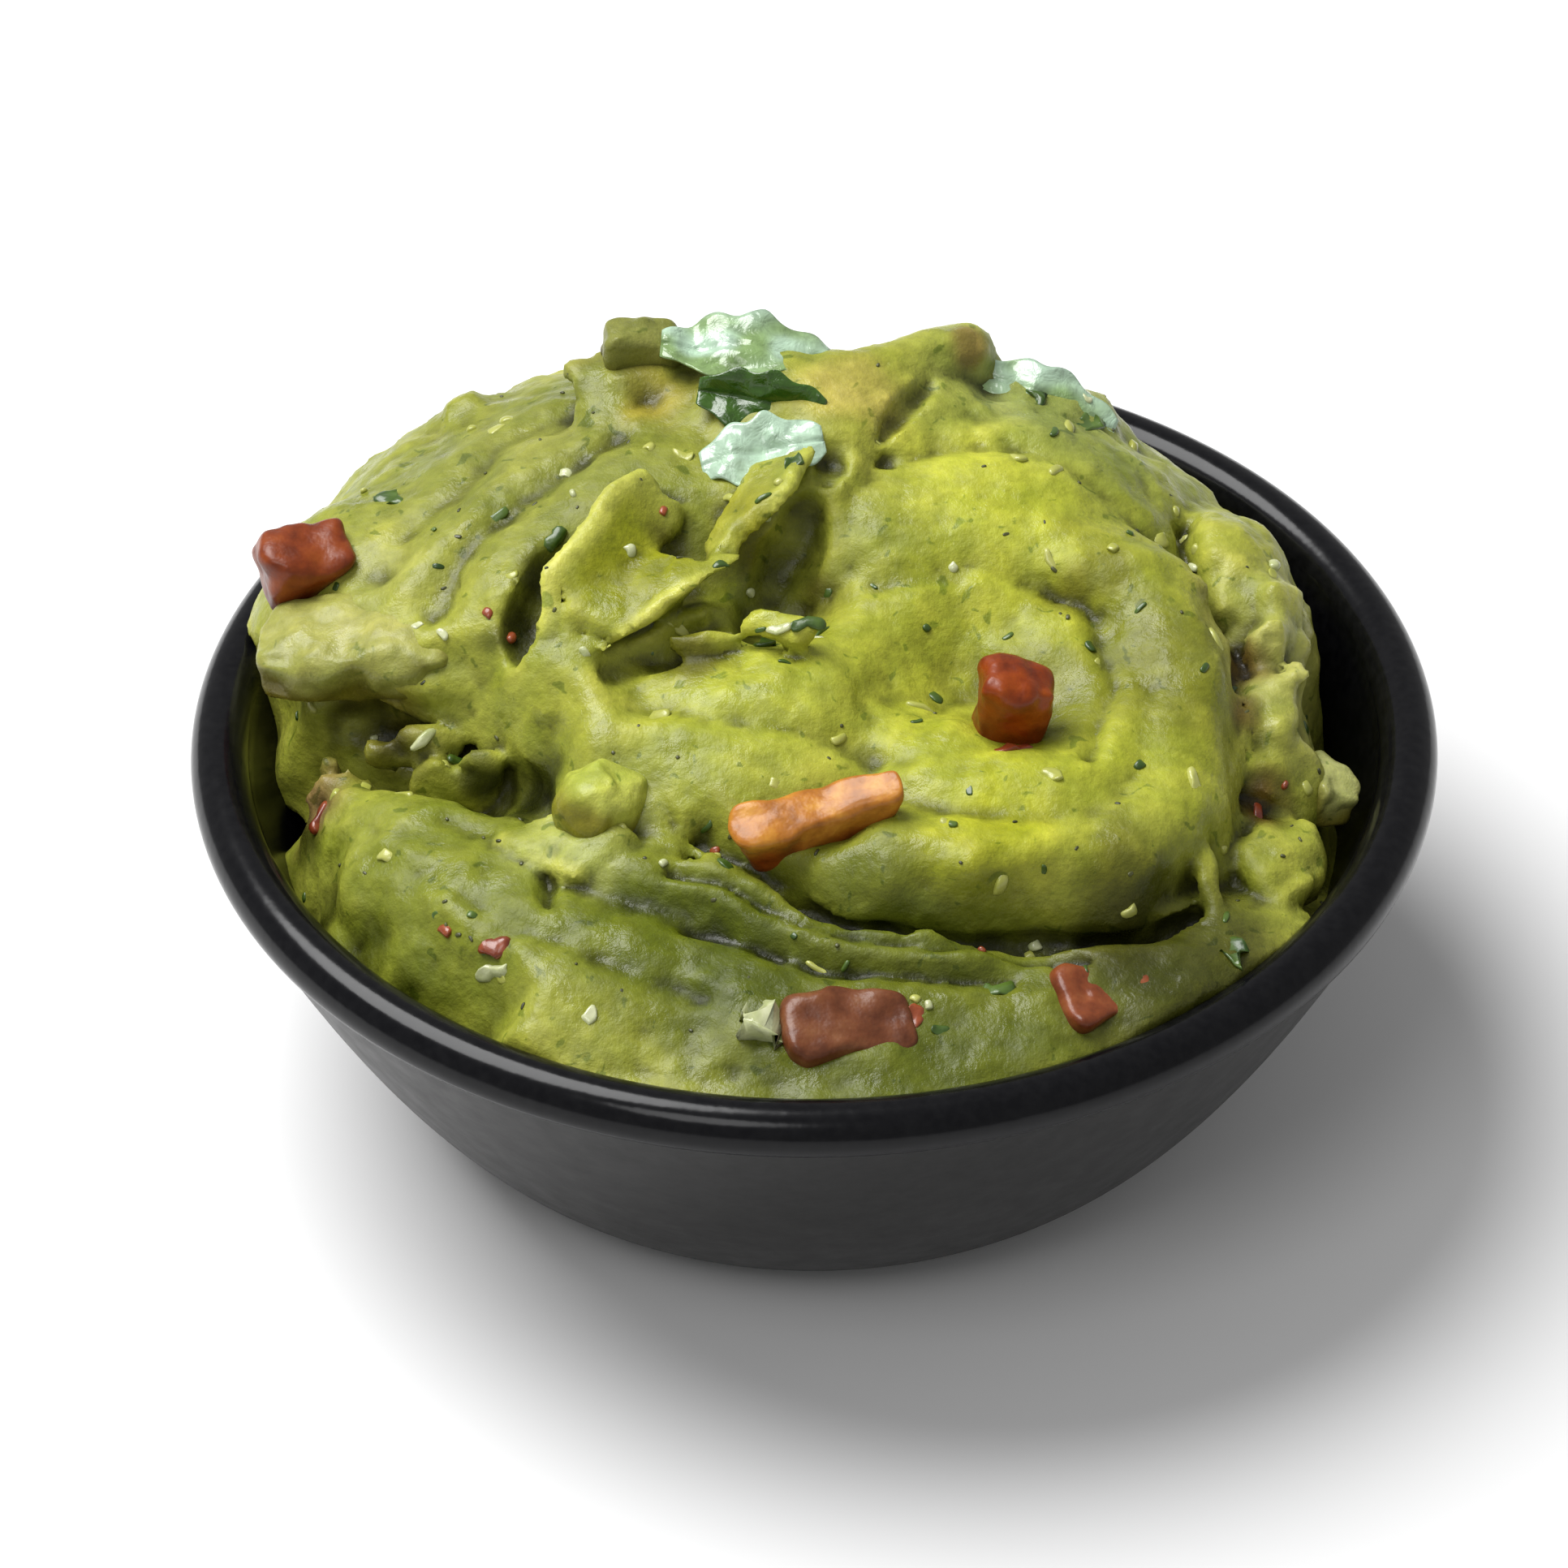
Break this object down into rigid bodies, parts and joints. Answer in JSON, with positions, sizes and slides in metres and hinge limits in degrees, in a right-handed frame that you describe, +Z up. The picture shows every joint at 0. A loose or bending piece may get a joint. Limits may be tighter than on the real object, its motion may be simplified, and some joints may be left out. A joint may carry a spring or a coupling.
{
  "type": "guacamole in a bowl",
  "caption": "Chunky guacamole heaped over the rim of a small round black bowl, with diced tomato, avocado pieces and cilantro leaf.",
  "frame": {"origin": "centre of the foot ring, on the surface the bowl stands on", "axes": "+Z up, +Y towards the back of the heap, where its peak lies, +X to the right"},
  "size_m": [0.12, 0.12, 0.066],
  "materials": {
    "bowl": "gloss lip, satin outside",
    "guacamole": "moist, soft sheen",
    "tomato": "wet",
    "avocado": "moist",
    "onion": "wet",
    "cilantro": "wet"
  },
  "bodies": {
    "root": {"bowl": "bowl", "guacamole": "guacamole", "tomato_centre": "tomato", "tomato_front": "tomato", "tomato_left": "tomato", "tomato_brim": "tomato", "tomato_brim_right": "tomato", "avocado_nub": "avocado", "avocado_shelf": "avocado", "avocado_crown": "avocado", "onion_right": "onion", "cilantro_crown": "cilantro", "cilantro_fold": "cilantro", "cilantro_front": "cilantro", "cilantro_right": "cilantro"}
  },
  "joints": []
}
